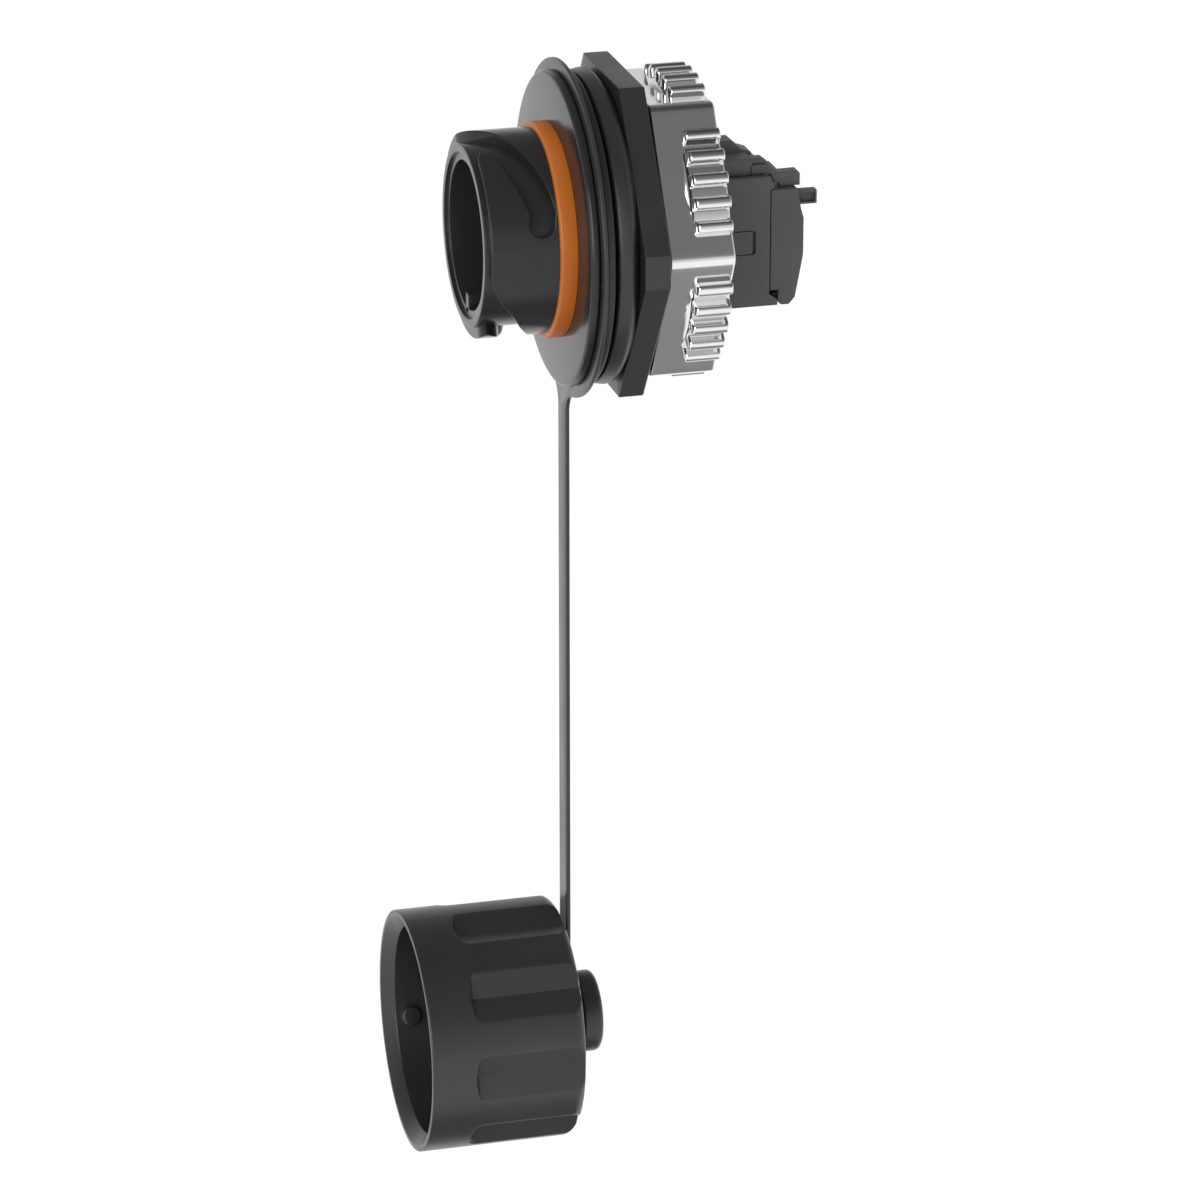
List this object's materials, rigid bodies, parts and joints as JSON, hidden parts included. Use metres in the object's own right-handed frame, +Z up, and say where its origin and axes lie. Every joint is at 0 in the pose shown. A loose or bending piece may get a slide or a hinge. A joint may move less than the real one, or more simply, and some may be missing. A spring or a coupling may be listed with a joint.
{
  "type": "industrial ethernet jack",
  "caption": "Panel-mount ethernet jack with a bayonet barrel, round flange, orange seal, panel nut, knurled metal nut, field-wired module and a protective cap on a strap.",
  "frame": {"origin": "jack axis at the panel face that the gasket seals on", "axes": "+Y along the jack axis towards the cable end, -Y towards the mating end, +Z up, the cap hangs towards -Z"},
  "size_m": [0.0412, 0.0511, 0.1407],
  "materials": {
    "body_black": "moulded, fine satin",
    "seal_orange": "smooth elastomer, satin",
    "gasket_black": "matt elastomer",
    "tether_black": "flexible moulding, satin",
    "panel_nut_black": "moulded, fine satin",
    "nut_metal": "bright plated, polished",
    "insert_black": "moulded, matt",
    "socket_black": "moulded, matt",
    "shield_metal": "tinned sheet",
    "board_green": "lacquered laminate",
    "terminal_block_white": "moulded, matt",
    "module_grey": "moulded, satin",
    "contact_gold": "gold plated wire",
    "terminal_tin": "tinned sheet",
    "cap_black": "moulded, fine satin"
  },
  "bodies": {
    "jack": {"jack_body": "body_black", "coupling_seal": "seal_orange", "panel_seal": "gasket_black", "insert_seal": "gasket_black", "socket_insert": "insert_black", "retainer_sleeve": "insert_black", "socket_housing": "socket_black", "shield_can": "shield_metal", "contact_carrier": "socket_black", "circuit_board": "board_green", "idc_block": "terminal_block_white", "wire_guide": "terminal_block_white", "module_lower": "module_grey", "module_upper": "module_grey", "contact_spring_1": "contact_gold", "contact_spring_2": "contact_gold", "contact_spring_3": "contact_gold", "contact_spring_4": "contact_gold", "contact_spring_5": "contact_gold", "contact_spring_6": "contact_gold", "contact_spring_7": "contact_gold", "contact_spring_8": "contact_gold", "idc_terminal_1": "terminal_tin", "idc_terminal_2": "terminal_tin", "idc_terminal_3": "terminal_tin", "idc_terminal_4": "terminal_tin", "idc_terminal_5": "terminal_tin", "idc_terminal_6": "terminal_tin", "idc_terminal_7": "terminal_tin", "idc_terminal_8": "terminal_tin"},
    "tether": {"cap_tether": "tether_black"},
    "cap": {"cap_body": "cap_black"},
    "panel_nut": {"panel_nut": "panel_nut_black"},
    "module_nut": {"module_nut": "nut_metal"},
    "rear_cover": {"rear_cover": "module_grey"}
  },
  "joints": [
    {"name": "tether_swing", "type": "hinge", "parent": "jack", "child": "tether", "pos_m": [0, -0.00155, 0], "axis": [0, 1, 0], "continuous": true},
    {"name": "cap_spin", "type": "hinge", "parent": "tether", "child": "cap", "pos_m": [0, -0.00155, -0.10469], "axis": [0, 1, 0], "continuous": true},
    {"name": "panel_nut_turn", "type": "hinge", "parent": "jack", "child": "panel_nut", "pos_m": [0, 0.0034, 0], "axis": [0, 1, 0], "continuous": true},
    {"name": "module_nut_turn", "type": "hinge", "parent": "jack", "child": "module_nut", "pos_m": [0, 0.0106, 0], "axis": [0, 1, 0], "continuous": true},
    {"name": "cover_open", "type": "hinge", "parent": "jack", "child": "rear_cover", "pos_m": [0, 0.0244, -0.00933], "axis": [-1, 0, 0], "range_deg": [0, 90]}
  ]
}
